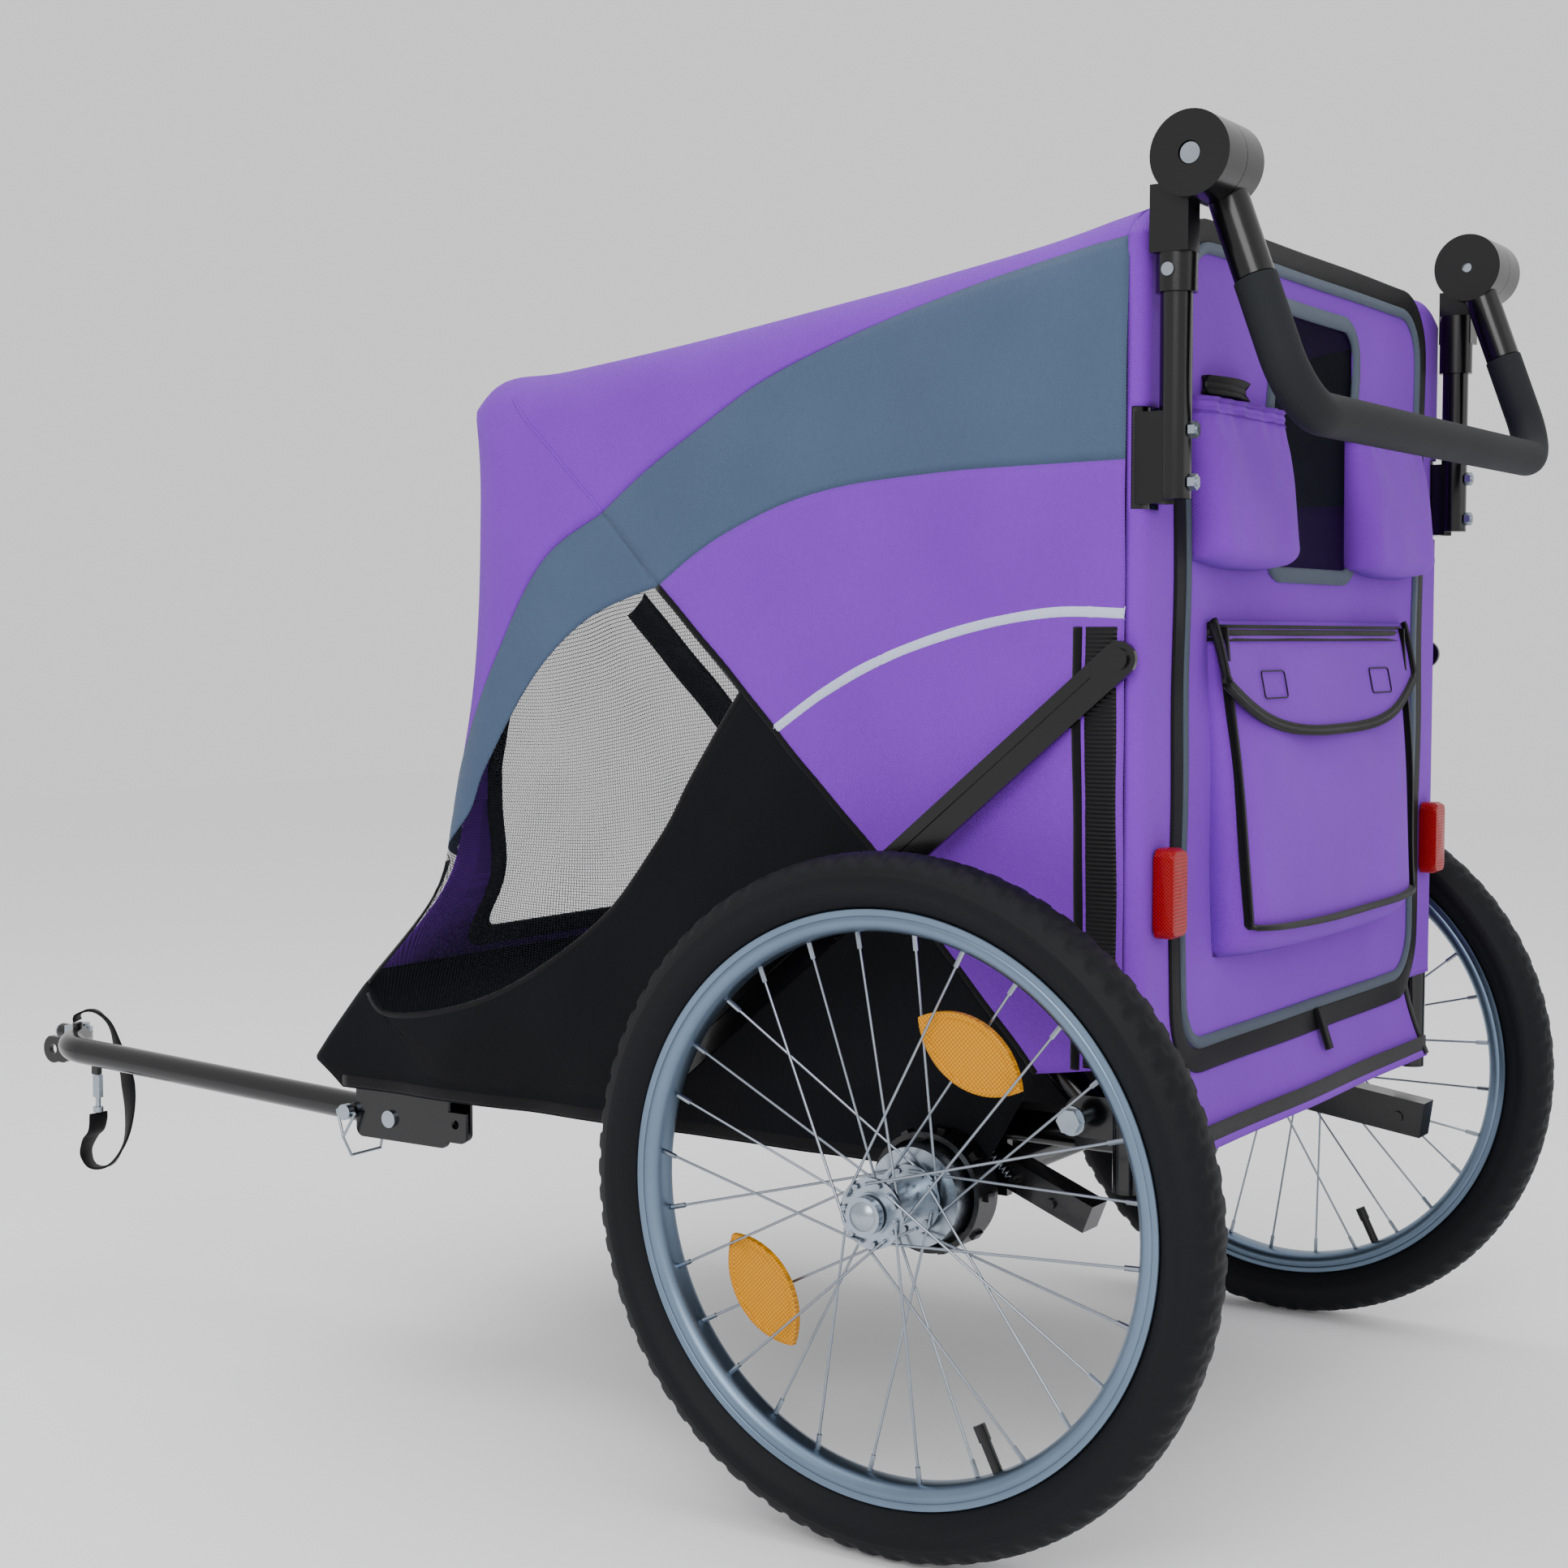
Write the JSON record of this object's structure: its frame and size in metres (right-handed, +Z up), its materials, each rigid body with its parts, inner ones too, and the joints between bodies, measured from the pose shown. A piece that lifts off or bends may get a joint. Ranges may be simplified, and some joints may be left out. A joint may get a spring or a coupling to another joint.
{
  "type": "child bicycle trailer",
  "caption": "Two-wheeled bicycle trailer with a folding hoop frame, a fabric cabin with mesh windows, a tilting push handle and a folding tow arm with a swivel coupler.",
  "frame": {"origin": "middle of the overall length and width, at the ground", "axes": "+X forward along the direction of travel, towards the bicycle; +Y to the left; +Z up"},
  "size_m": [1.3738, 0.8372, 0.9945],
  "materials": {
    "black_steel": "black powder coat",
    "black_plastic": "moulded, matt",
    "bright_steel": "zinc plated",
    "aluminium": "polished",
    "tyre": "matt rubber",
    "foam": "closed-cell foam",
    "purple_fabric": "woven polyester",
    "grey_fabric": "woven polyester",
    "dark_fabric": "coated polyester",
    "mesh_fabric": "open mesh",
    "dark_mesh": "open mesh",
    "webbing": "nylon webbing",
    "red_reflector": "prismatic",
    "amber_reflector": "prismatic"
  },
  "bodies": {
    "base": {"base_frame": "black_steel", "floor_panel": "black_plastic", "tow_bracket": "black_steel", "frame_bolts": "bright_steel", "brake_housings": "black_plastic", "wheel_axles": "bright_steel", "side_panels": "purple_fabric", "side_bands": "grey_fabric", "corner_panels": "purple_fabric", "side_skirts": "dark_fabric", "mesh_windows": "mesh_fabric", "roof_cover": "purple_fabric", "front_cover": "purple_fabric", "latch_spring": "bright_steel"},
    "rear_hoop": {"rear_hoop": "black_steel", "handle_posts": "black_steel", "post_saddles": "black_plastic", "saddle_bolts": "bright_steel", "joint_forks": "black_plastic", "joint_bolts": "bright_steel", "post_caps": "black_plastic", "rear_cover": "purple_fabric", "rear_door": "purple_fabric", "rear_window_mesh": "dark_mesh", "rear_pocket": "purple_fabric", "bottle_pouches": "purple_fabric", "rear_reflectors": "red_reflector"},
    "pocket_flap": {"pocket_flap": "purple_fabric"},
    "handle": {"handle_bar": "black_steel", "foam_grip": "foam", "joint_arms": "black_plastic"},
    "front_hoop": {"front_hoop": "black_steel"},
    "upper_brace_left": {"upper_brace_left": "black_steel"},
    "upper_brace_right": {"upper_brace_right": "black_steel"},
    "lower_brace_left": {"lower_brace_left": "black_steel"},
    "lower_brace_right": {"lower_brace_right": "black_steel"},
    "tow_arm": {"tow_arm": "black_steel", "safety_strap": "webbing", "snap_hook": "bright_steel"},
    "hitch_pin": {"hitch_pin": "bright_steel"},
    "pin_bail": {"pin_bail": "bright_steel"},
    "coupler_yoke": {"coupler_yoke": "bright_steel"},
    "hitch_plate": {"hitch_plate": "black_steel"},
    "wheel_left": {"tyre_left": "tyre", "rim_left": "aluminium", "spokes_left": "bright_steel", "hub_left": "aluminium", "spoke_reflectors_left": "amber_reflector", "valve_left": "black_plastic"},
    "wheel_right": {"tyre_right": "tyre", "rim_right": "aluminium", "spokes_right": "bright_steel", "hub_right": "aluminium", "spoke_reflectors_right": "amber_reflector", "valve_right": "black_plastic"},
    "release_button_left": {"release_button_left": "bright_steel"},
    "release_button_right": {"release_button_right": "bright_steel"},
    "latch_lever": {"latch_lever": "black_steel"},
    "brake_pedal": {"brake_pedal": "black_steel"}
  },
  "joints": [
    {"name": "fold", "type": "hinge", "parent": "base", "child": "rear_hoop", "pos_m": [-0.524, 0, 0.311], "axis": [0, 1, 0], "range_deg": [0, 88], "deforming": ["side_panels", "side_bands", "corner_panels", "side_skirts", "mesh_windows", "roof_cover", "front_cover"]},
    {"name": "front_hoop_fold", "type": "hinge", "parent": "base", "child": "front_hoop", "pos_m": [-0.524, 0, 0.311], "axis": [0, 1, 0], "range_deg": [0, 46]},
    {"name": "handle_tilt", "type": "hinge", "parent": "rear_hoop", "child": "handle", "pos_m": [-0.611, 0, 0.966], "axis": [0, 1, 0], "range_deg": [0, 120]},
    {"name": "upper_brace_fold_left", "type": "hinge", "parent": "rear_hoop", "child": "upper_brace_left", "pos_m": [-0.562, 0.3191, 0.633], "axis": [0, 1, 0], "range_deg": [-112, 0]},
    {"name": "upper_brace_fold_right", "type": "hinge", "parent": "rear_hoop", "child": "upper_brace_right", "pos_m": [-0.562, -0.3191, 0.633], "axis": [0, 1, 0], "range_deg": [-112, 0]},
    {"name": "lower_brace_fold_left", "type": "hinge", "parent": "base", "child": "lower_brace_left", "pos_m": [-0.149, 0.3145, 0.286], "axis": [0, 1, 0], "range_deg": [0, 143]},
    {"name": "lower_brace_fold_right", "type": "hinge", "parent": "base", "child": "lower_brace_right", "pos_m": [-0.149, -0.3145, 0.286], "axis": [0, 1, 0], "range_deg": [0, 143]},
    {"name": "flap_lift", "type": "hinge", "parent": "rear_hoop", "child": "pocket_flap", "pos_m": [-0.5754, 0, 0.66], "axis": [0, 1, 0], "range_deg": [0, 88]},
    {"name": "tow_arm_fold", "type": "hinge", "parent": "base", "child": "tow_arm", "pos_m": [0.154, 0.25, 0.23], "axis": [0, 1, 0], "range_deg": [0, 110]},
    {"name": "hitch_pin_pull", "type": "slide", "parent": "tow_arm", "child": "hitch_pin", "axis": [0, 1, 0], "range_m": [0, 0.06]},
    {"name": "pin_bail_swing", "type": "hinge", "parent": "hitch_pin", "child": "pin_bail", "pos_m": [0.20095, 0.2716, 0.23205], "axis": [0.999, 0, 0.0436], "range_deg": [0, 110]},
    {"name": "coupler_yaw", "type": "hinge", "parent": "tow_arm", "child": "coupler_yoke", "pos_m": [0.62945, 0.19591, 0.25076], "axis": [-0.0436, 0, 0.999], "range_deg": [-40, 40]},
    {"name": "hitch_plate_roll", "type": "hinge", "parent": "coupler_yoke", "child": "hitch_plate", "pos_m": [0.65343, 0.19591, 0.25181], "axis": [0.999, 0, 0.0436], "range_deg": [-45, 45]},
    {"name": "wheel_spin_left", "type": "hinge", "parent": "base", "child": "wheel_left", "pos_m": [-0.417, 0.377, 0.25], "axis": [0, 1, 0], "continuous": true},
    {"name": "wheel_spin_right", "type": "hinge", "parent": "base", "child": "wheel_right", "pos_m": [-0.417, -0.377, 0.25], "axis": [0, 1, 0], "continuous": true},
    {"name": "release_press_left", "type": "slide", "parent": "base", "child": "release_button_left", "axis": [0, -1, 0], "range_m": [0, 0.003], "stiffness_N_per_m": 400, "springref_m": -0.003},
    {"name": "release_press_right", "type": "slide", "parent": "base", "child": "release_button_right", "axis": [0, 1, 0], "range_m": [0, 0.003], "stiffness_N_per_m": 400, "springref_m": -0.003},
    {"name": "latch_turn", "type": "hinge", "parent": "base", "child": "latch_lever", "pos_m": [-0.429, 0.2735, 0.276], "axis": [0, 1, 0], "range_deg": [-18, 0], "stiffness_Nm_per_rad": 4, "springref_deg": 17.19, "deforming": ["latch_spring"]},
    {"name": "brake_press", "type": "hinge", "parent": "base", "child": "brake_pedal", "pos_m": [-0.483, -0.247, 0.246], "axis": [0, 1, 0], "range_deg": [-15, 0]}
  ],
  "couplings": [
    {"joint": "front_hoop_fold", "follows": "fold", "ratio": 0.50455},
    {"joint": "upper_brace_fold_left", "follows": "fold", "ratio": -1.2682},
    {"joint": "lower_brace_fold_left", "follows": "fold", "ratio": 1.6216},
    {"joint": "upper_brace_fold_right", "follows": "fold", "ratio": -1.2682},
    {"joint": "lower_brace_fold_right", "follows": "fold", "ratio": 1.6216}
  ]
}
